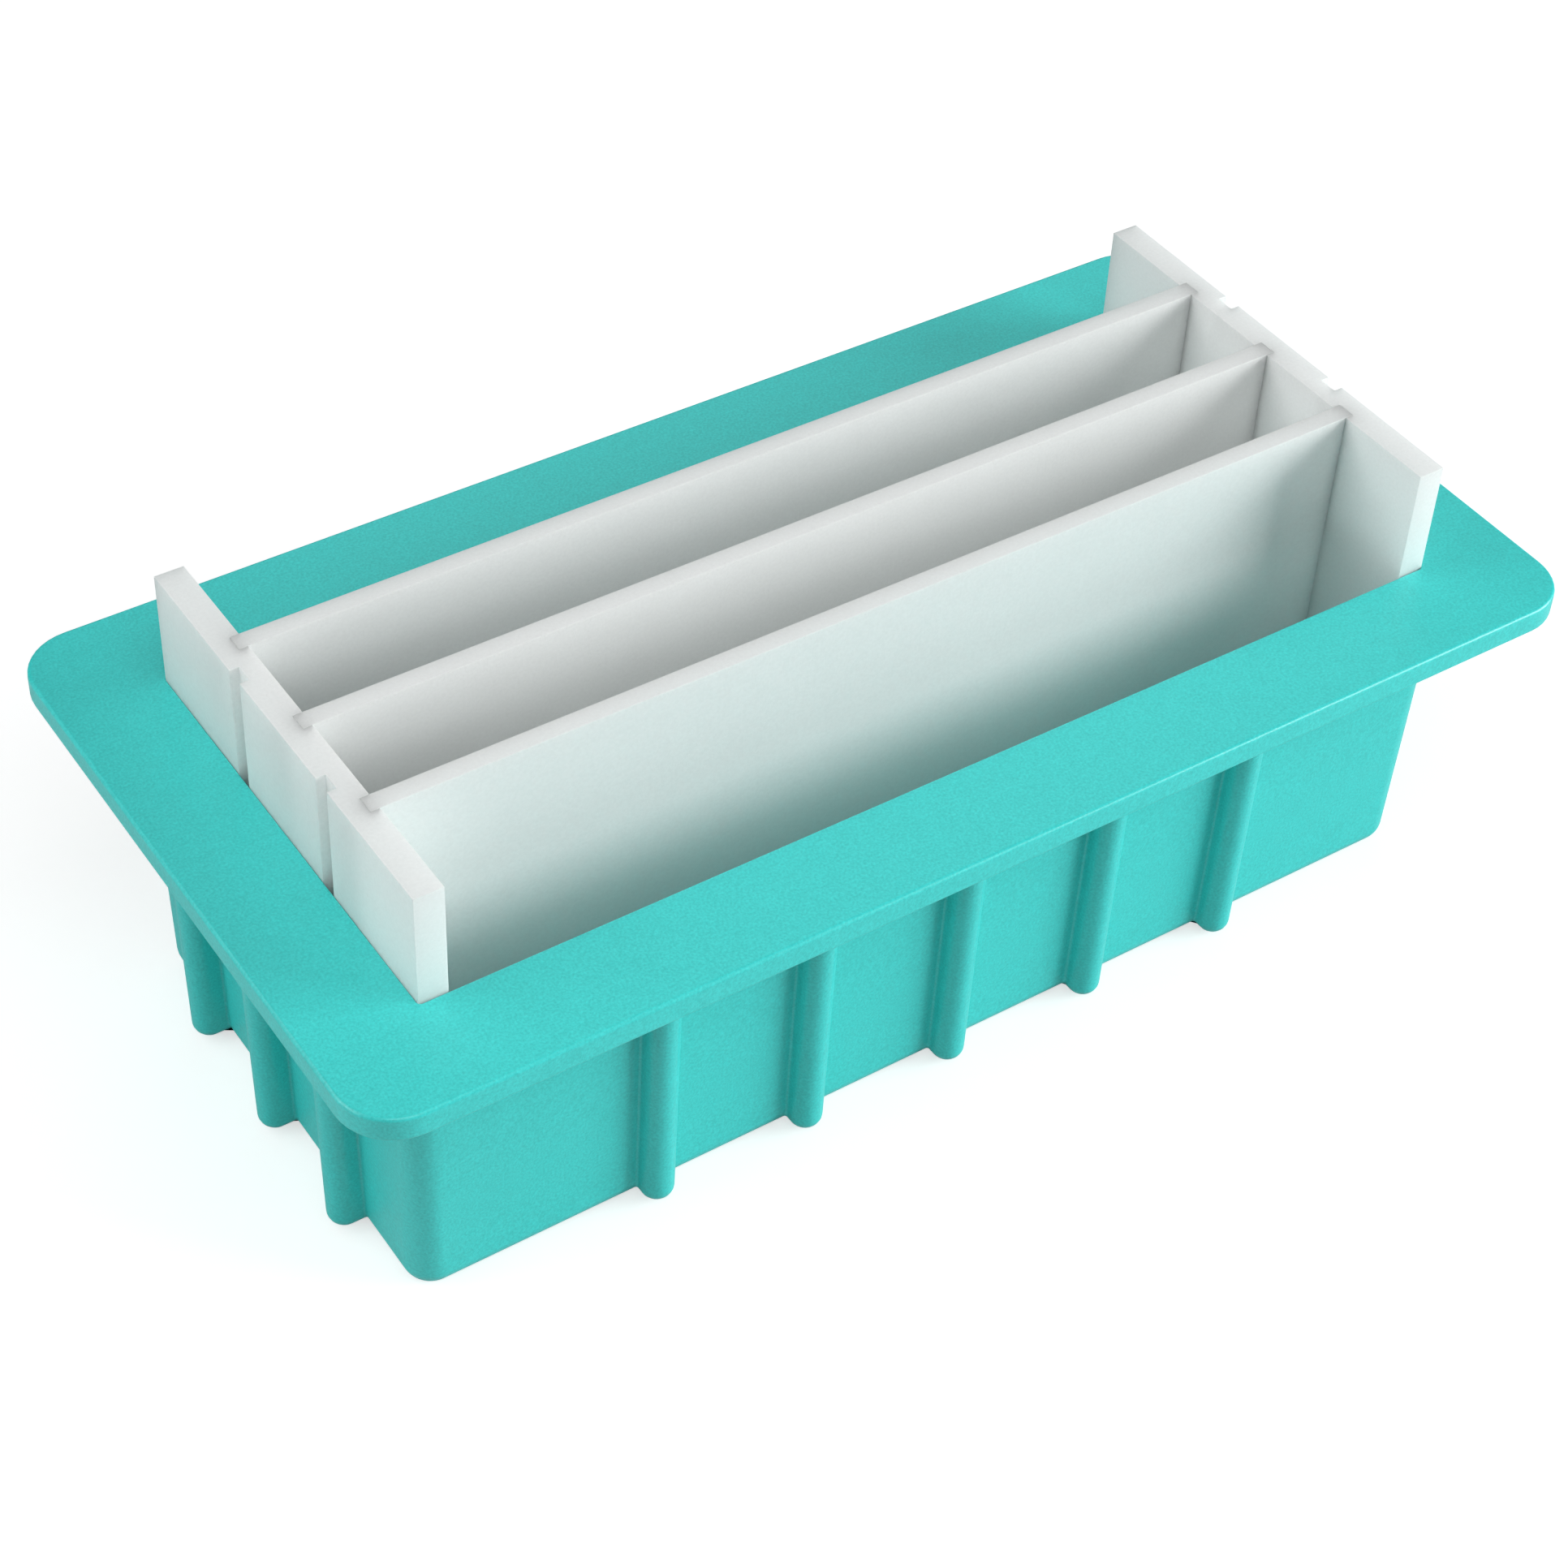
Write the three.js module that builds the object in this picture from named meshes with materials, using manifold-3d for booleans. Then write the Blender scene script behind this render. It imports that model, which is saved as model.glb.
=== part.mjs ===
// Silicone soap mould: a wide-flanged loaf tray with a set of lift-out plates.
// Two grooved end plates stand against the short walls of the tray, and three
// long dividers stand between them and split the tray into four bar channels.
//
// Frame: millimetres, +X along the tray, +Y across it, +Z up.
// The origin is on the floor under the middle of the tray.

import * as THREE from 'three';
import { mergeVertices } from 'three/addons/utils/BufferGeometryUtils.js';
import Module from 'manifold-3d';

// ---------------------------------------------------------------- dimensions

// The flange, the flat collar round the mouth of the tray.
const FLANGE_LENGTH = 284;
const FLANGE_WIDTH = 148;
const FLANGE_THICKNESS = 5.6;
const FLANGE_CORNER_RADIUS = 12;
const FLANGE_EDGE_RADIUS = 0.8;

// The tray below it. Its walls lean in a little from the flange to the foot.
const TRAY_HEIGHT = 78;
const BODY_LENGTH = 249.6;
const BODY_WIDTH = 111;
const BODY_CORNER_RADIUS = 6;
const WALL_LEAN = 1.1;
const FOOT_EDGE_RADIUS = 5;

// The cavity, a plain box with square corners and a flat floor.
const CAVITY_LENGTH = 238;
const CAVITY_WIDTH = 102;
const FLOOR_THICKNESS = 5;

// The upright ribs that stiffen the four walls. They stop just above the floor.
const RIB_HALF_WIDTH = 3.6;
const RIB_FOOT_LEVEL = 1;
const RIB_FOOT_RADIUS = 3;
const RIB_ANCHOR = 10;
const SIDE_RIB_COUNT = 5;
const SIDE_RIB_PITCH = 35.5;
const SIDE_RIB_REACH = 5.1;
const END_RIB_COUNT = 3;
const END_RIB_PITCH = 29.4;
const END_RIB_REACH = 6.3;

// The plates. All of them stand on the cavity floor and end at one level.
const PLATE_TOP = 104;
const END_PLATE_THICKNESS = 6;
const DIVIDER_THICKNESS = 4;
const FIT_GAP = 0.3;

// Each end plate has three grooves on one face and two on the other, so that
// the set makes four channels or, with the plates turned round, three.
const GROOVE_DEPTH = 2;
const GROOVE_WIDTH = DIVIDER_THICKNESS + 2 * FIT_GAP;
const INNER_GROOVE_COUNT = 3;
const OUTER_GROOVE_COUNT = 2;

// How finely the round stretches are divided.
const CORNER_SEGMENTS = 3;
const FOOT_SEGMENTS = 3;
const FLANGE_EDGE_SEGMENTS = 2;
const RIB_TIP_SEGMENTS = 3;
const RIB_FOOT_SEGMENTS = 2;

// A cutter runs this far past the faces that it opens.
const OVERCUT = 1;

const FLANGE_UNDERSIDE = TRAY_HEIGHT - FLANGE_THICKNESS;
const PLATE_FOOT = FLOOR_THICKNESS + FIT_GAP;
const PLATE_HEIGHT = PLATE_TOP - PLATE_FOOT;
const END_PLATE_CENTRE = CAVITY_LENGTH / 2 - FIT_GAP - END_PLATE_THICKNESS / 2;
const END_PLATE_INNER_FACE = END_PLATE_CENTRE - END_PLATE_THICKNESS / 2;
const DIVIDER_LENGTH = 2 * (END_PLATE_INNER_FACE + GROOVE_DEPTH - FIT_GAP);

// ----------------------------------------------------------------- materials

const silicone = new THREE.MeshStandardMaterial({
  color: 0x4fc8be,
  roughness: 0.55,
  metalness: 0,
});

const frostedPlastic = new THREE.MeshStandardMaterial({
  color: 0xdde3e1,
  roughness: 0.42,
  metalness: 0,
});

// ------------------------------------------------------------- solid helpers

const wasm = await Module();
wasm.setup();

// A closed three.js geometry becomes a solid that can be joined and cut.
function toSolid(geometry) {
  const bare = geometry.clone();
  bare.deleteAttribute('normal');
  bare.deleteAttribute('uv');
  const merged = mergeVertices(bare);
  return new wasm.Manifold(new wasm.Mesh({
    numProp: 3,
    vertProperties: new Float32Array(merged.attributes.position.array),
    triVerts: new Uint32Array(merged.index.array),
  }));
}

// A solid goes back to a three.js geometry.
function toGeometry(solid) {
  const mesh = solid.getMesh();
  const geometry = new THREE.BufferGeometry();
  geometry.setAttribute('position', new THREE.BufferAttribute(mesh.vertProperties, 3));
  geometry.setIndex(new THREE.BufferAttribute(mesh.triVerts, 1));
  geometry.computeVertexNormals();
  return geometry;
}

// Positions of count things a pitch apart, centred on zero.
function spread(count, pitch) {
  return Array.from({ length: count }, (_, i) => (i - (count - 1) / 2) * pitch);
}

// A rectangle with rounded corners, centred on the origin.
function roundedRectangle(length, width, radius) {
  const x = length / 2 - radius;
  const y = width / 2 - radius;
  const shape = new THREE.Shape();
  shape.absarc(x, y, radius, 0, Math.PI / 2);
  shape.absarc(-x, y, radius, Math.PI / 2, Math.PI);
  shape.absarc(-x, -y, radius, Math.PI, 1.5 * Math.PI);
  shape.absarc(x, -y, radius, 1.5 * Math.PI, 2 * Math.PI);
  shape.closePath();
  return shape;
}

// An upright prism from z = 0 to the given height. Its two ends are rounded
// over by the given radius, and its sides stay on the outline between them.
function roundedPrism(shape, height, radius, bevelSegments, curveSegments) {
  const geometry = new THREE.ExtrudeGeometry(shape, {
    depth: height - 2 * radius,
    bevelEnabled: true,
    bevelThickness: radius,
    bevelSize: radius,
    bevelOffset: -radius,
    bevelSegments,
    curveSegments,
  });
  return geometry.translate(0, 0, radius);
}

// Pulls the walls of a prism in towards the tray's middle as they go down, by
// leanX and leanY at z = 0. Nothing moves at the level of the flange.
function lean(geometry, leanX, leanY) {
  const position = geometry.attributes.position;
  for (let i = 0; i < position.count; i += 1) {
    const below = 1 - position.getZ(i) / FLANGE_UNDERSIDE;
    const x = position.getX(i);
    const y = position.getY(i);
    position.setX(i, x - Math.sign(x) * leanX * below);
    position.setY(i, y - Math.sign(y) * leanY * below);
  }
  return geometry;
}

// --------------------------------------------------------------- silicone mould

// The walls and foot of the tray, still solid inside.
function trayBlock() {
  const outline = roundedRectangle(BODY_LENGTH, BODY_WIDTH, BODY_CORNER_RADIUS);
  const top = FLANGE_UNDERSIDE + FOOT_EDGE_RADIUS;
  const block = roundedPrism(outline, top, FOOT_EDGE_RADIUS, FOOT_SEGMENTS, CORNER_SEGMENTS);
  return toSolid(lean(block, WALL_LEAN, WALL_LEAN));
}

// The flat collar. Its top edge is rounded over and its bottom edge is square.
function flange() {
  const outline = roundedRectangle(FLANGE_LENGTH, FLANGE_WIDTH, FLANGE_CORNER_RADIUS);
  const lowerDepth = FLANGE_THICKNESS / 2;
  const lower = new THREE.ExtrudeGeometry(outline, {
    depth: lowerDepth,
    bevelEnabled: false,
    curveSegments: CORNER_SEGMENTS,
  });
  const upperDepth = FLANGE_THICKNESS - lowerDepth + FLANGE_EDGE_RADIUS;
  const upper = roundedPrism(
    outline, upperDepth, FLANGE_EDGE_RADIUS, FLANGE_EDGE_SEGMENTS, CORNER_SEGMENTS,
  );
  lower.translate(0, 0, FLANGE_UNDERSIDE);
  upper.translate(0, 0, TRAY_HEIGHT - upperDepth);
  return toSolid(lower).add(toSolid(upper));
}

// One rib in plan, pointing along +Y from a wall face that lies on y = 0: a
// round tip and straight flanks that run on into the wall.
function ribOutline(reach) {
  const shape = new THREE.Shape();
  shape.moveTo(-RIB_HALF_WIDTH, -RIB_ANCHOR);
  shape.lineTo(RIB_HALF_WIDTH, -RIB_ANCHOR);
  shape.absarc(0, reach - RIB_HALF_WIDTH, RIB_HALF_WIDTH, 0, Math.PI);
  shape.closePath();
  return shape;
}

// A rib standing on a wall: faceDistance is from the tray's middle to the
// wall's face, reach is how far the rib stands out from it, along is the rib's
// place on that wall, and turn faces it out.
function rib(faceDistance, reach, along, turn) {
  const height = FLANGE_UNDERSIDE - RIB_FOOT_LEVEL + RIB_FOOT_RADIUS;
  const post = roundedPrism(
    ribOutline(reach), height, RIB_FOOT_RADIUS, RIB_FOOT_SEGMENTS, RIB_TIP_SEGMENTS,
  );
  post.translate(0, faceDistance, RIB_FOOT_LEVEL);
  lean(post, 0, WALL_LEAN);
  post.translate(along, 0, 0);
  post.rotateZ(turn);
  return toSolid(post);
}

function allRibs() {
  const sideRibs = spread(SIDE_RIB_COUNT, SIDE_RIB_PITCH).flatMap((along) => [
    rib(BODY_WIDTH / 2, SIDE_RIB_REACH, along, 0),
    rib(BODY_WIDTH / 2, SIDE_RIB_REACH, along, Math.PI),
  ]);
  const endRibs = spread(END_RIB_COUNT, END_RIB_PITCH).flatMap((along) => [
    rib(BODY_LENGTH / 2, END_RIB_REACH, along, Math.PI / 2),
    rib(BODY_LENGTH / 2, END_RIB_REACH, along, -Math.PI / 2),
  ]);
  return [...sideRibs, ...endRibs];
}

// The box that is taken out of the tray from above.
function cavity() {
  const depth = TRAY_HEIGHT - FLOOR_THICKNESS + OVERCUT;
  const box = new THREE.BoxGeometry(CAVITY_LENGTH, CAVITY_WIDTH, depth);
  return toSolid(box.translate(0, 0, FLOOR_THICKNESS + depth / 2));
}

function mouldMesh() {
  const outside = allRibs().reduce((solid, part) => solid.add(part), trayBlock().add(flange()));
  const mesh = new THREE.Mesh(toGeometry(outside.subtract(cavity())), silicone);
  mesh.name = 'silicone_mould';
  return mesh;
}

// ----------------------------------------------------------------- end plates

// Upright slots cut into one face of an end plate, right through from its foot
// to its top. side is +1 for the face on +X and -1 for the face on -X.
function groovesOn(side, count) {
  const reach = GROOVE_DEPTH + OVERCUT;
  const x = side * (END_PLATE_THICKNESS / 2 - GROOVE_DEPTH + reach / 2);
  return spread(count, CAVITY_WIDTH / (count + 1)).map((y) => {
    const slot = new THREE.BoxGeometry(reach, GROOVE_WIDTH, PLATE_HEIGHT + 2 * OVERCUT);
    return toSolid(slot.translate(x, y, 0));
  });
}

// An end plate, drawn with its three-groove face towards +X.
function endPlateGeometry() {
  const width = CAVITY_WIDTH - 2 * FIT_GAP;
  const slab = toSolid(new THREE.BoxGeometry(END_PLATE_THICKNESS, width, PLATE_HEIGHT));
  const slots = [...groovesOn(1, INNER_GROOVE_COUNT), ...groovesOn(-1, OUTER_GROOVE_COUNT)];
  return toGeometry(slots.reduce((solid, slot) => solid.subtract(slot), slab));
}

function endPlateMesh(name, x, turn) {
  const mesh = new THREE.Mesh(endPlateGeometry(), frostedPlastic);
  mesh.name = name;
  mesh.position.set(x, 0, PLATE_FOOT + PLATE_HEIGHT / 2);
  mesh.rotation.z = turn;
  return mesh;
}

// ------------------------------------------------------------------- dividers

function dividerMesh(name, y) {
  const sheet = new THREE.BoxGeometry(DIVIDER_LENGTH, DIVIDER_THICKNESS, PLATE_HEIGHT);
  const mesh = new THREE.Mesh(sheet, frostedPlastic);
  mesh.name = name;
  mesh.position.set(0, y, PLATE_FOOT + PLATE_HEIGHT / 2);
  return mesh;
}

// ------------------------------------------------------------------- assembly

const DIVIDER_NAMES = ['divider_front', 'divider_middle', 'divider_back'];
const dividerPlaces = spread(INNER_GROOVE_COUNT, CAVITY_WIDTH / (INNER_GROOVE_COUNT + 1));

const soapMould = new THREE.Group();
soapMould.add(mouldMesh());
soapMould.add(endPlateMesh('end_plate_left', -END_PLATE_CENTRE, 0));
soapMould.add(endPlateMesh('end_plate_right', END_PLATE_CENTRE, Math.PI));
DIVIDER_NAMES.forEach((name, i) => soapMould.add(dividerMesh(name, dividerPlaces[i])));

export default soapMould;
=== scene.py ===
"""Looks of the silicone soap mould: a ribbed turquoise tray with frosted plates."""
import math

import bpy
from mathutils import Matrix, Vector


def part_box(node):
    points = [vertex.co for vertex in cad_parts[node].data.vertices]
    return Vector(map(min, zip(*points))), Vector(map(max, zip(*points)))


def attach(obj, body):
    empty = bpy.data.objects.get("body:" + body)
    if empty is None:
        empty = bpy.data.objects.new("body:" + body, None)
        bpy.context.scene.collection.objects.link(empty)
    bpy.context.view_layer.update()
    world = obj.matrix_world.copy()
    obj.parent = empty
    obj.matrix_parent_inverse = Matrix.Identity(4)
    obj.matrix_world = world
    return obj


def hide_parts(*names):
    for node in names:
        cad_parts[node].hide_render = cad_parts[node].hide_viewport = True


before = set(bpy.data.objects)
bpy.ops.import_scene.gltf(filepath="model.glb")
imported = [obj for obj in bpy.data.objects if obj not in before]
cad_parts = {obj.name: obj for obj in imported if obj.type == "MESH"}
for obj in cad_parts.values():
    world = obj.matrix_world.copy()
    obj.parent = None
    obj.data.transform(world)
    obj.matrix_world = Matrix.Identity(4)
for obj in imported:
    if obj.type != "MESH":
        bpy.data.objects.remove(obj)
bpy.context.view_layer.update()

MM = 0.001

# ---------------------------------------------------------------- dimensions
# Millimetres. The tray's overall size comes from the frame, and the other sizes follow the CAD part.
# The small roundings are for looks: some are finer than the CAD's, and the cavity's aren't in it.

_, tray_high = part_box("silicone_mould")
FLANGE_HALF_X, FLANGE_HALF_Y, TRAY_TOP = tray_high / MM
FLANGE_THICKNESS = 5.6
FLANGE_UNDERSIDE = TRAY_TOP - FLANGE_THICKNESS
FLANGE_CORNER_RADIUS = 12
FLANGE_TOP_ROUND = 0.8
FLANGE_BOTTOM_ROUND = 0.5
FLANGE_UNDER_FILLET = 0.5

BODY_HALF_X = 124.8
BODY_HALF_Y = 55.5
BODY_CORNER_RADIUS = 6
WALL_LEAN = 1.1
FOOT_ROUND = 5
FOOT_LEAST_CORNER = 0.6

CAVITY_HALF_X = 119
CAVITY_HALF_Y = 51
CAVITY_FLOOR = 5
CAVITY_CORNER_RADIUS = 0.8
CAVITY_LIP_ROUND = 0.4
CAVITY_FLOOR_FILLET = 1.2

RIB_HALF_WIDTH = 3.6
RIB_ROOT_FILLET = 0.6
RIB_FOOT_LEVEL = 1
RIB_FOOT_ROUND = 3
SIDE_RIBS = (-71, -35.5, 0, 35.5, 71)
SIDE_RIB_REACH = 5.1
END_RIBS = (-29.4, 0, 29.4)
END_RIB_REACH = 6.3

# The outline's points that belong to one rib keep to this much wall on either side of its middle.
# On an outline without ribs they lie evenly on the same wall, a little further in.
RIB_SPREAD = 5
PLAIN_SPREAD = 4.5

INNER_GROOVES = (-25.5, 0, 25.5)
OUTER_GROOVES = (-17, 17)
GROOVE_DEPTH = 2
SHEET_EDGE_ROUND = 0.08

# The CAD leaves a fitting gap round every plate and divider. The seams look closed in the photo,
# so the visible grooves are narrower than the CAD's and the visible sheets reach into the gap.
GROOVE_WIDTH = 4.16
END_GAP_FILL = 0.27
SIDE_GAP_FILL = 0.05

# How many parts each stretch is divided into. WALL_STEP is millimetres along a plain wall.
CORNER_STEPS = 10
RIB_ROOT_STEPS = 4
RIB_TIP_STEPS = 14
WALL_STEP = 7
FOOT_STEPS = 9
RIB_FOOT_STEPS = 6
WALL_ROWS = 8
UNDER_FILLET_STEPS = 3
FLANGE_BOTTOM_STEPS = 3
FLANGE_TOP_STEPS = 7
LIP_STEPS = 4
CAVITY_ROWS = 6
FLOOR_FILLET_STEPS = 3
SHEET_CORNER_STEPS = 2
SHEET_EDGE_STEPS = 3
SHEET_ROWS = 6

# Edges of the tray that turn by more than this many degrees stay hard.
TRAY_SHARP_ANGLE = 40

# A corner of an inset outline moves by at most the inset divided by this.
LEAST_MITRE = 0.5

QUARTER_TURN = math.pi / 2


# -------------------------------------------------------------- tray outlines

def arc(centre, radius, start, turn, steps):
    """Points in plan along an arc that begins at one angle and goes on through another."""
    angles = [start + turn * i / steps for i in range(steps + 1)]
    return [(centre[0] + radius * math.cos(a), centre[1] + radius * math.sin(a)) for a in angles]


def rib_profile(half_width, reach, fillet):
    """A rib in plan as (along, out) points, from its left root over its tip to its right root."""
    root = half_width + fillet
    left = arc((-root, fillet), fillet, -QUARTER_TURN, QUARTER_TURN, RIB_ROOT_STEPS)
    tip = arc((0, reach - half_width), half_width, math.pi, -math.pi, RIB_TIP_STEPS)
    right = arc((root, fillet), fillet, math.pi, QUARTER_TURN, RIB_ROOT_STEPS)
    return left + tip + right


RIB_POINTS = len(rib_profile(RIB_HALF_WIDTH, SIDE_RIB_REACH, RIB_ROOT_FILLET))


def wall_stations(half_straight, ribs):
    """What the outline passes along one wall: (place, None), or (rib, point) within a rib."""
    edges = [edge for rib in ribs for edge in (rib - RIB_SPREAD, rib + RIB_SPREAD)]
    stops = [-half_straight, *edges, half_straight]
    stations = []
    for k, (low, high) in enumerate(zip(stops[::2], stops[1::2])):
        count = max(2, round((high - low) / WALL_STEP))
        stations += [(low + (high - low) * i / count, None) for i in range(1, count)]
        if k < len(ribs):
            stations += [(ribs[k], i) for i in range(RIB_POINTS)]
    return stations


SIDE_STATIONS = wall_stations(BODY_HALF_X - BODY_CORNER_RADIUS, SIDE_RIBS)
END_STATIONS = wall_stations(BODY_HALF_Y - BODY_CORNER_RADIUS, END_RIBS)


def wall_point(station, profile, squeeze):
    """One outline point on a wall as (along, out). profile is None where there are no ribs."""
    place, index = station
    if index is None:
        return place * squeeze, 0
    if profile:
        along, out = profile[index]
        return place + along, out
    share = index / (RIB_POINTS - 1) * 2 - 1
    return (place + share * PLAIN_SPREAD) * squeeze, 0


def ring(half_x, half_y, corner, z, ribs=None):
    """One closed outline at height z. ribs is (half width, root fillet, extra reach) or None."""
    points = []
    side = (half_x, half_y, SIDE_STATIONS, SIDE_RIB_REACH, BODY_HALF_X)
    end = (half_y, half_x, END_STATIONS, END_RIB_REACH, BODY_HALF_Y)
    normals = ((0, -1), (1, 0), (0, 1), (-1, 0))
    for (nx, ny), (half_along, distance, stations, reach, body_half) in zip(normals, (side, end) * 2):
        tx, ty = -ny, nx
        straight = half_along - corner
        squeeze = straight / (body_half - BODY_CORNER_RADIUS)
        profile = rib_profile(ribs[0], reach + ribs[2], ribs[1]) if ribs else None
        for station in stations:
            along, out = wall_point(station, profile, squeeze)
            away = distance + out
            points.append((nx * away + tx * along, ny * away + ty * along, z))
        inner = distance - corner
        centre = (nx * inner + tx * straight, ny * inner + ty * straight)
        turn = arc(centre, corner, math.atan2(ny, nx), QUARTER_TURN, CORNER_STEPS)
        points += [(x, y, z) for x, y in turn]
    return points


def quarter(radius, steps):
    """(inset, rise) pairs from a flat face round to an upright one."""
    turns = [i / steps * QUARTER_TURN for i in range(steps + 1)]
    return [(radius * (1 - math.sin(a)), radius * (1 - math.cos(a))) for a in turns]


def round_inset(radius, rise):
    """How far a rounded foot of that radius stands in at a height above its bottom."""
    if rise >= radius:
        return 0.0
    return radius - math.sqrt(max(0.0, radius ** 2 - (radius - rise) ** 2))


def body_ring(z, with_ribs, swell=0.0):
    """The tray's outside below the flange, with the foot's rounding and the walls' lean."""
    lean = WALL_LEAN * (1 - z / FLANGE_UNDERSIDE)
    inset = round_inset(FOOT_ROUND, z)
    inwards = lean + inset - swell
    ribs = None
    if with_ribs:
        rib_inset = round_inset(RIB_FOOT_ROUND, z - RIB_FOOT_LEVEL)
        ribs = (RIB_HALF_WIDTH - rib_inset + swell, RIB_ROOT_FILLET - swell, inset - rib_inset)
    corner = max(BODY_CORNER_RADIUS - inset, FOOT_LEAST_CORNER) + swell
    return ring(BODY_HALF_X - inwards, BODY_HALF_Y - inwards, corner, z, ribs)


def flange_ring(inset, z):
    return ring(FLANGE_HALF_X - inset, FLANGE_HALF_Y - inset, FLANGE_CORNER_RADIUS - inset, z)


def cavity_ring(inset, z):
    corner = CAVITY_CORNER_RADIUS + max(-inset, 0)
    return ring(CAVITY_HALF_X - inset, CAVITY_HALF_Y - inset, corner, z)


def foot_rings():
    """From the flat foot up to where the ribs begin."""
    rises = [rise for _, rise in quarter(FOOT_ROUND, FOOT_STEPS) if rise < RIB_FOOT_LEVEL]
    return [body_ring(z, False) for z in [*rises, RIB_FOOT_LEVEL]]


def wall_rings():
    """The ribbed walls, up to the fillet under the flange."""
    top = FLANGE_UNDERSIDE - FLANGE_UNDER_FILLET
    foot = [rise for _, rise in quarter(FOOT_ROUND, FOOT_STEPS) if rise > RIB_FOOT_LEVEL]
    rib_foot = [RIB_FOOT_LEVEL + rise for _, rise in quarter(RIB_FOOT_ROUND, RIB_FOOT_STEPS)]
    wall = [FOOT_ROUND + (top - FOOT_ROUND) * i / WALL_ROWS for i in range(1, WALL_ROWS + 1)]
    levels = {round(z, 3) for z in foot + rib_foot} | set(wall)
    rings = [body_ring(z, True) for z in sorted(levels)]
    for i in range(1, UNDER_FILLET_STEPS + 1):
        a = i / UNDER_FILLET_STEPS * QUARTER_TURN
        rise = FLANGE_UNDER_FILLET * math.sin(a)
        swell = FLANGE_UNDER_FILLET * (1 - math.cos(a))
        rings.append(body_ring(top + rise, True, swell))
    return rings


def flange_rings():
    """Out along the flange's underside, up its edge and over on to its top."""
    bottom = quarter(FLANGE_BOTTOM_ROUND, FLANGE_BOTTOM_STEPS)
    top = reversed(quarter(FLANGE_TOP_ROUND, FLANGE_TOP_STEPS))
    rings = [flange_ring(inset, FLANGE_UNDERSIDE + rise) for inset, rise in bottom]
    return rings + [flange_ring(inset, TRAY_TOP - rise) for inset, rise in top]


def cavity_rings():
    """Over the lip and down the cavity's walls to its floor."""
    lip = quarter(CAVITY_LIP_ROUND, LIP_STEPS)
    rings = [cavity_ring(-inset, TRAY_TOP - rise) for inset, rise in lip]
    drop = TRAY_TOP - CAVITY_FLOOR - CAVITY_FLOOR_FILLET
    for i in range(1, CAVITY_ROWS):
        rings.append(cavity_ring(0, TRAY_TOP - CAVITY_LIP_ROUND - drop * i / CAVITY_ROWS))
    fillet = reversed(quarter(CAVITY_FLOOR_FILLET, FLOOR_FILLET_STEPS))
    return rings + [cavity_ring(inset, CAVITY_FLOOR + rise) for inset, rise in fillet]


# --------------------------------------------------------------- mesh helpers

def side_faces(count, rows):
    """Quads between each outline of count points and the next one up."""
    faces = []
    for low in range(0, (rows - 1) * count, count):
        for i in range(count):
            j = (i + 1) % count
            faces.append((low + i, low + j, low + count + j, low + count + i))
    return faces


def mesh_piece(name, vertices, faces, sharp_angle=None):
    """A smooth-shaded object. Edges sharper than sharp_angle, in degrees, stay hard."""
    mesh = bpy.data.meshes.new(name)
    mesh.from_pydata([Vector(v) * MM for v in vertices], [], faces)
    mesh.validate()
    mesh.shade_smooth()
    if sharp_angle:
        mesh.set_sharp_from_angle(angle=math.radians(sharp_angle))
    piece = bpy.data.objects.new(name, mesh)
    bpy.context.scene.collection.objects.link(piece)
    normals = piece.modifiers.new("face_weighted_normals", "WEIGHTED_NORMAL")
    normals.keep_sharp = True
    return piece


def lofted_piece(name, rings, sharp_angle):
    """A closed shape through a stack of outlines. Each end is a fan round its middle."""
    count = len(rings[0])
    vertices = [point for outline in rings for point in outline]
    faces = side_faces(count, len(rings))
    for row, faces_down in ((0, True), (len(rings) - 1, False)):
        centre = len(vertices)
        vertices.append(sum((Vector(p) for p in rings[row]), Vector()) / count)
        for i in range(count):
            a, b = row * count + i, row * count + (i + 1) % count
            faces.append((b, a, centre) if faces_down else (a, b, centre))
    return mesh_piece(name, vertices, faces, sharp_angle)


def eased_outline(corners, radius):
    """A plan outline with every corner eased by a small radius."""
    points = []
    total = len(corners)
    for i in range(total):
        before, here, after = (Vector(corners[(i + d) % total]) for d in (-1, 0, 1))
        start = here + (before - here).normalized() * radius
        end = here + (after - here).normalized() * radius
        for k in range(SHEET_CORNER_STEPS + 1):
            t = k / SHEET_CORNER_STEPS
            points.append(start * (1 - t) ** 2 + here * 2 * t * (1 - t) + end * t * t)
    return points


def offset_outline(points, distance):
    """The outline moved inwards, point by point along the bisector of its neighbours."""
    moved = []
    total = len(points)
    for i in range(total):
        before, here, after = (points[(i + d) % total] for d in (-1, 0, 1))
        one, two = (here - before).normalized(), (after - here).normalized()
        normal = Vector((-one.y - two.y, one.x + two.x)).normalized()
        stretch = 1 / max(LEAST_MITRE, math.sqrt((1 + one.dot(two)) / 2))
        moved.append(here + normal * distance * stretch)
    return moved


def sheet_piece(name, corners, low, high):
    """An upright sheet with eased edges and flat ends. corners runs anticlockwise in plan."""
    outline = eased_outline(corners, SHEET_EDGE_ROUND)
    edge = quarter(SHEET_EDGE_ROUND, SHEET_EDGE_STEPS)
    levels = [(inset, low + rise) for inset, rise in edge]
    levels += [(0, low + (high - low) * i / SHEET_ROWS) for i in range(1, SHEET_ROWS)]
    levels += [(inset, high - rise) for inset, rise in reversed(edge)]
    count = len(outline)
    vertices = [(p.x, p.y, z) for inset, z in levels for p in offset_outline(outline, inset)]
    top = (len(levels) - 1) * count
    foot_face = tuple(reversed(range(count)))
    top_face = tuple(range(top, top + count))
    return mesh_piece(name, vertices, [foot_face, *side_faces(count, len(levels)), top_face])


# ------------------------------------------------------------------ node helpers

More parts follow.
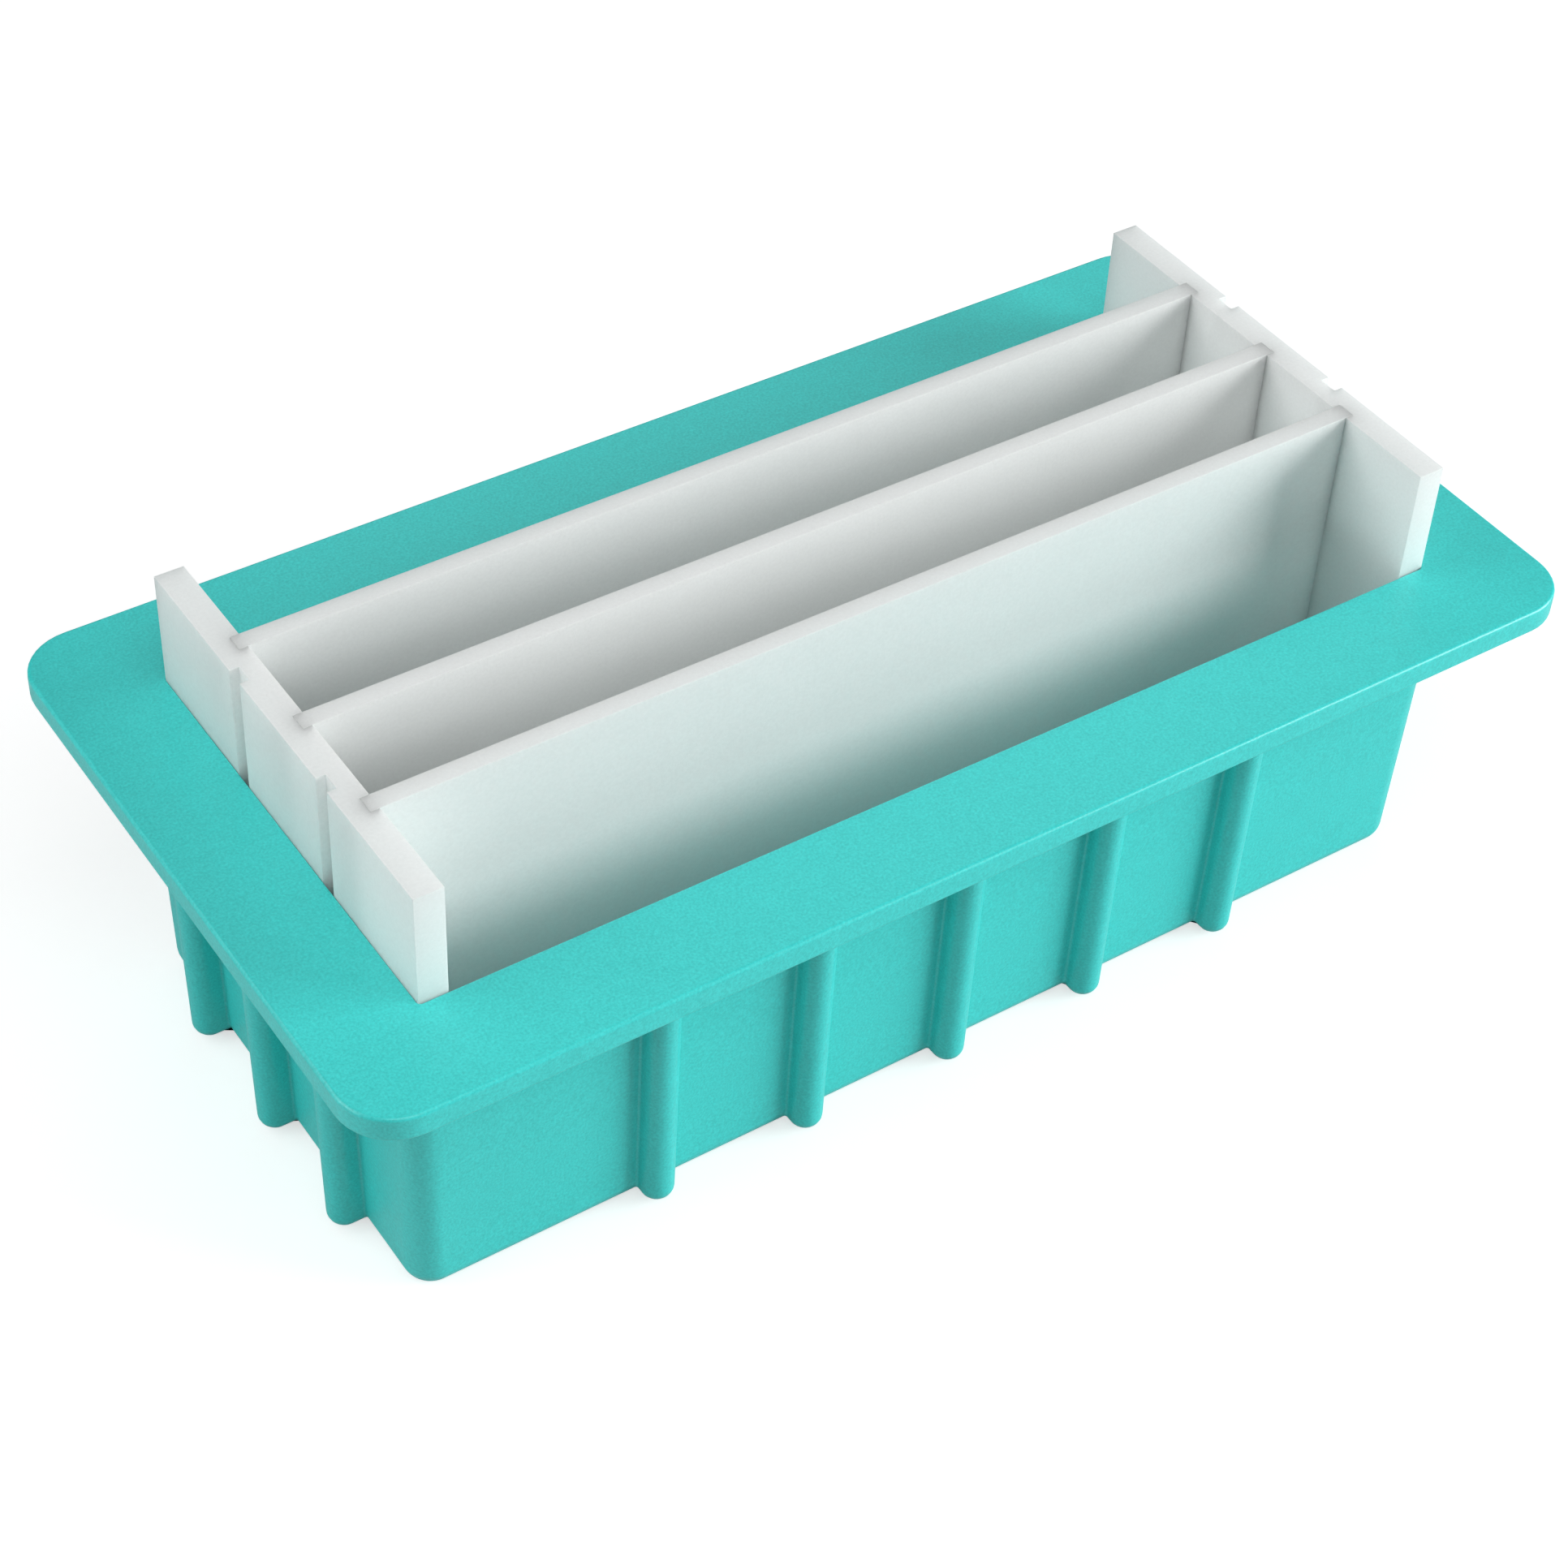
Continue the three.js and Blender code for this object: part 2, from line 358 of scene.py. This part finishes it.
def new_material(name):
    material = bpy.data.materials.new(name)
    material.use_nodes = True
    tree = material.node_tree
    return material, tree, tree.nodes["Principled BSDF"]


def object_place(tree):
    return tree.nodes.new("ShaderNodeTexCoord").outputs["Object"]


def add_noise(tree, coordinates, scale, detail=3.0, roughness=0.55):
    noise = tree.nodes.new("ShaderNodeTexNoise")
    noise.inputs["Scale"].default_value = scale
    noise.inputs["Detail"].default_value = detail
    noise.inputs["Roughness"].default_value = roughness
    tree.links.new(coordinates, noise.inputs["Vector"])
    return noise.outputs["Fac"]


def add_ramp(tree, factor, stops):
    """A colour ramp through stops of the form (position, (red, green, blue))."""
    ramp = tree.nodes.new("ShaderNodeValToRGB")
    elements = ramp.color_ramp.elements
    for element, (position, colour) in zip(elements, (stops[0], stops[-1])):
        element.position = position
        element.color = (*colour, 1)
    for position, colour in stops[1:-1]:
        elements.new(position).color = (*colour, 1)
    tree.links.new(factor, ramp.inputs["Fac"])
    return ramp.outputs["Color"]


def add_product(tree, one, two):
    mix = tree.nodes.new("ShaderNodeMix")
    mix.data_type = "RGBA"
    mix.blend_type = "MULTIPLY"
    mix.inputs["Factor"].default_value = 1.0
    tree.links.new(one, mix.inputs["A"])
    tree.links.new(two, mix.inputs["B"])
    return mix.outputs["Result"]


def add_bump(tree, height, distance, strength, normal=None):
    bump = tree.nodes.new("ShaderNodeBump")
    bump.inputs["Distance"].default_value = distance
    bump.inputs["Strength"].default_value = strength
    tree.links.new(height, bump.inputs["Height"])
    if normal:
        tree.links.new(normal, bump.inputs["Normal"])
    return bump.outputs["Normal"]


def add_range(tree, value, low, high):
    spread = tree.nodes.new("ShaderNodeMapRange")
    spread.inputs["To Min"].default_value = low
    spread.inputs["To Max"].default_value = high
    tree.links.new(value, spread.inputs["Value"])
    return spread.outputs["Result"]


# ------------------------------------------------------------------ materials
# Noise scales are in cells per metre, and bump heights are in metres.

AS_IT_IS = (1.0, 1.0, 1.0)

# The values of a noise at which a colour ramp begins, is halfway and ends.
RAMP_LOW = 0.3
RAMP_MIDDLE = 0.5
RAMP_HIGH = 0.7
PATCH_LOW = 0.35
PATCH_HIGH = 0.65

SILICONE_GRAIN = 1900
SILICONE_MOTTLE = 260
SILICONE_CLOUDS = 14
SILICONE_DARK = (0.038, 0.62, 0.59)
SILICONE_MIDDLE = (0.050, 0.70, 0.67)
SILICONE_LIGHT = (0.062, 0.78, 0.75)
SILICONE_PATCH_SHADE = (0.96, 0.97, 0.97)
SILICONE_CLOUD_SHADE = (0.98, 0.99, 0.985)
SILICONE_ROUGHNESS = (0.27, 0.37)
SILICONE_SCATTER = (0.3, 1.0, 0.9)

SHEET_FROST = 1500
SHEET_HAZE = 30
SHEET_SAW_LINES = 900
SHEET_SAW_STRETCH = (1.0, 1.0, 0.06)
SHEET_DARK = (0.885, 0.92, 0.91)
SHEET_LIGHT = (0.91, 0.945, 0.935)
SHEET_SPECKLE_SHADE = (0.945, 0.945, 0.945)
SHEET_ROUGHNESS = (0.38, 0.52)

PAPER_FIBRES = 400
PAPER_DARK = (0.59, 0.59, 0.59)
PAPER_LIGHT = (0.61, 0.61, 0.61)
PAPER_WHITENING = 0.62


def silicone_material():
    """Turquoise silicone rubber: fine moulded grain, satin, slightly see-through."""
    material, tree, shader = new_material("turquoise_silicone")
    place = object_place(tree)
    grain = add_noise(tree, place, SILICONE_GRAIN, roughness=0.6)
    mottle = add_noise(tree, place, SILICONE_MOTTLE, detail=4.0)
    clouds = add_noise(tree, place, SILICONE_CLOUDS)
    base = add_ramp(tree, grain, (
        (RAMP_LOW, SILICONE_DARK), (RAMP_MIDDLE, SILICONE_MIDDLE), (RAMP_HIGH, SILICONE_LIGHT),
    ))
    patches = add_ramp(tree, mottle, ((PATCH_LOW, SILICONE_PATCH_SHADE), (PATCH_HIGH, AS_IT_IS)))
    drift = add_ramp(tree, clouds, ((RAMP_LOW, SILICONE_CLOUD_SHADE), (RAMP_HIGH, AS_IT_IS)))
    colour = add_product(tree, add_product(tree, base, patches), drift)
    tree.links.new(colour, shader.inputs["Base Color"])
    tree.links.new(add_range(tree, mottle, *SILICONE_ROUGHNESS), shader.inputs["Roughness"])
    skin = add_bump(tree, mottle, distance=0.00025, strength=0.12)
    texture = add_bump(tree, grain, distance=0.00008, strength=0.5, normal=skin)
    tree.links.new(texture, shader.inputs["Normal"])
    shader.inputs["IOR"].default_value = 1.5
    shader.inputs["Specular IOR Level"].default_value = 0.6
    shader.inputs["Subsurface Weight"].default_value = 0.12
    shader.inputs["Subsurface Radius"].default_value = SILICONE_SCATTER
    shader.inputs["Subsurface Scale"].default_value = 0.0015
    return material


def plastic_material():
    """Milky frosted sheet that light goes into, with faint upright saw lines on it."""
    material, tree, shader = new_material("frosted_sheet")
    place = object_place(tree)
    frost = add_noise(tree, place, SHEET_FROST, roughness=0.6)
    haze = add_noise(tree, place, SHEET_HAZE, detail=4.0)
    base = add_ramp(tree, haze, ((RAMP_LOW, SHEET_DARK), (RAMP_HIGH, SHEET_LIGHT)))
    speckle = add_ramp(tree, frost, ((RAMP_LOW, SHEET_SPECKLE_SHADE), (RAMP_HIGH, AS_IT_IS)))
    tree.links.new(add_product(tree, base, speckle), shader.inputs["Base Color"])
    tree.links.new(add_range(tree, haze, *SHEET_ROUGHNESS), shader.inputs["Roughness"])
    stretch = tree.nodes.new("ShaderNodeMapping")
    stretch.inputs["Scale"].default_value = SHEET_SAW_STRETCH
    tree.links.new(place, stretch.inputs["Vector"])
    saw = add_noise(tree, stretch.outputs["Vector"], SHEET_SAW_LINES, detail=2.0)
    skin = add_bump(tree, saw, distance=0.00006, strength=0.25)
    texture = add_bump(tree, frost, distance=0.00005, strength=0.4, normal=skin)
    tree.links.new(texture, shader.inputs["Normal"])
    shader.inputs["IOR"].default_value = 1.49
    shader.inputs["Subsurface Weight"].default_value = 0.45
    shader.inputs["Subsurface Radius"].default_value = (1.0, 1.0, 1.0)
    shader.inputs["Subsurface Scale"].default_value = 0.02
    return material


def floor_material():
    """Plain white paper. It is shown whiter than it lights the object, like a bleached backdrop."""
    material, tree, shader = new_material("floor_paper")
    fibres = add_noise(tree, object_place(tree), PAPER_FIBRES)
    paper = add_ramp(tree, fibres, ((RAMP_LOW, PAPER_DARK), (RAMP_HIGH, PAPER_LIGHT)))
    tree.links.new(paper, shader.inputs["Base Color"])
    shader.inputs["Roughness"].default_value = 0.9
    shader.inputs["Specular IOR Level"].default_value = 0.1
    shader.inputs["Emission Color"].default_value = (1, 1, 1, 1)
    seen = tree.nodes.new("ShaderNodeLightPath").outputs["Is Camera Ray"]
    glow = add_range(tree, seen, 0.0, PAPER_WHITENING)
    tree.links.new(glow, shader.inputs["Emission Strength"])
    return material


# --------------------------------------------------------------------- pieces

SILICONE = silicone_material()
PLASTIC = plastic_material()


def place_piece(piece, material, node, body):
    piece.data.materials.append(material)
    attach(piece, body)
    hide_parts(node)


def sheet_box(node):
    low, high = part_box(node)
    return low / MM, high / MM


def groove_corners(face, bottom, places, step):
    """The corners of the grooves in one face of an end plate, going up y (1) or down it (-1)."""
    corners = []
    for y in places:
        near, far = y - step * GROOVE_WIDTH / 2, y + step * GROOVE_WIDTH / 2
        corners += [(face, near), (bottom, near), (bottom, far), (face, far)]
    return corners


def end_plate(name, node, body, inner_side):
    """A grooved plate. The face towards the middle of the tray looks along inner_side * X."""
    low, high = sheet_box(node)
    if inner_side > 0:
        low.x -= END_GAP_FILL
        left, right = OUTER_GROOVES, INNER_GROOVES
    else:
        high.x += END_GAP_FILL
        left, right = INNER_GROOVES, OUTER_GROOVES
    corners = [(low.x, low.y), (high.x, low.y)]
    corners += groove_corners(high.x, high.x - GROOVE_DEPTH, right, 1)
    corners += [(high.x, high.y), (low.x, high.y)]
    corners += groove_corners(low.x, low.x + GROOVE_DEPTH, reversed(left), -1)
    sheet = sheet_piece(name, corners, low.z, high.z)
    place_piece(sheet, PLASTIC, node, body)


def divider(name, node, body):
    """A plain sheet that stands in one groove of each end plate."""
    low, high = sheet_box(node)
    low.x, high.x = low.x - END_GAP_FILL, high.x + END_GAP_FILL
    low.y, high.y = low.y - SIDE_GAP_FILL, high.y + SIDE_GAP_FILL
    corners = [(low.x, low.y), (high.x, low.y), (high.x, high.y), (low.x, high.y)]
    sheet = sheet_piece(name, corners, low.z, high.z)
    place_piece(sheet, PLASTIC, node, body)


tray_rings = foot_rings() + wall_rings() + flange_rings() + cavity_rings()
tray = lofted_piece("tray_shell", tray_rings, TRAY_SHARP_ANGLE)
place_piece(tray, SILICONE, "silicone_mould", "mould")
end_plate("left_plate_sheet", "end_plate_left", "left_plate", 1)
end_plate("right_plate_sheet", "end_plate_right", "right_plate", -1)
divider("front_divider_sheet", "divider_front", "front_divider")
divider("middle_divider_sheet", "divider_middle", "middle_divider")
divider("back_divider_sheet", "divider_back", "back_divider")


# ------------------------------------------------------------- floor and light
# Places and sizes are in metres, and powers in watts.

FLOOR_HALF = 1.4
AIR_LIGHT = 0.01
BACKDROP_WHITE = 0.95
LIGHT_AIM = (0, 0, 0.05)

# Each softbox's name: its place, its width and height, and its power.
SOFTBOXES = {
    "right_softbox": ((1.29, -0.95, 0.55), (1.1, 0.8), 28),
    "left_softbox": ((-0.75, 0.50, 1.0), (0.8, 0.8), 3.7),
    "side_softbox": ((-1.15, 0.25, 0.55), (0.8, 0.6), 5.2),
    "back_softbox": ((0.65, 0.89, 1.03), (1.0, 0.8), 1.9),
    "top_softbox": ((-0.1, -0.55, 1.25), (0.9, 0.8), 4.3),
    "front_softbox": ((-0.45, -0.75, 0.85), (0.9, 0.7), 1.8),
}


def studio_floor():
    mesh = bpy.data.meshes.new("studio_floor")
    corners = [(-1, -1), (1, -1), (1, 1), (-1, 1)]
    mesh.from_pydata([(x * FLOOR_HALF, y * FLOOR_HALF, 0) for x, y in corners], [], [(0, 1, 2, 3)])
    mesh.materials.append(floor_material())
    floor = bpy.data.objects.new("studio_floor", mesh)
    bpy.context.scene.collection.objects.link(floor)


def softbox(name, place, size, power):
    light = bpy.data.lights.new(name, "AREA")
    light.shape = "RECTANGLE"
    light.size, light.size_y = size
    light.energy = power
    lamp = bpy.data.objects.new(name, light)
    lamp.location = place
    lamp.rotation_euler = (Vector(LIGHT_AIM) - Vector(place)).to_track_quat("-Z", "Y").to_euler()
    bpy.context.scene.collection.objects.link(lamp)


def studio_air():
    """A faint even light. The camera sees it as a near-white backdrop past the floor's edge."""
    world = bpy.data.worlds.new("studio_air")
    world.use_nodes = True
    tree = world.node_tree
    backdrop = tree.nodes["Background"]
    backdrop.inputs["Color"].default_value = (1, 1, 1, 1)
    seen = tree.nodes.new("ShaderNodeLightPath").outputs["Is Camera Ray"]
    shown = add_range(tree, seen, AIR_LIGHT, BACKDROP_WHITE)
    tree.links.new(shown, backdrop.inputs["Strength"])
    bpy.context.scene.world = world


studio_floor()
for box_name, (place, size, power) in SOFTBOXES.items():
    softbox(box_name, place, size, power)
studio_air()


# --------------------------------------------------------------------- camera
# The place is in metres, the turn in degrees, and the lens and sensor in millimetres.

CAMERA_PLACE = (-0.30048, -0.40886, 0.50865)
CAMERA_TURN = (46.767, -2.379, -33.625)
CAMERA_LENS = 75.467
CAMERA_SENSOR = 36
CAMERA_NEAR = 0.01


def studio_camera():
    camera = bpy.data.cameras.new("studio_camera")
    camera.sensor_width = CAMERA_SENSOR
    camera.lens = CAMERA_LENS
    camera.clip_start = CAMERA_NEAR
    viewer = bpy.data.objects.new("studio_camera", camera)
    viewer.location = CAMERA_PLACE
    viewer.rotation_euler = [math.radians(a) for a in CAMERA_TURN]
    bpy.context.scene.collection.objects.link(viewer)
    bpy.context.scene.camera = viewer


studio_camera()
bpy.context.scene.view_settings.view_transform = "Standard"
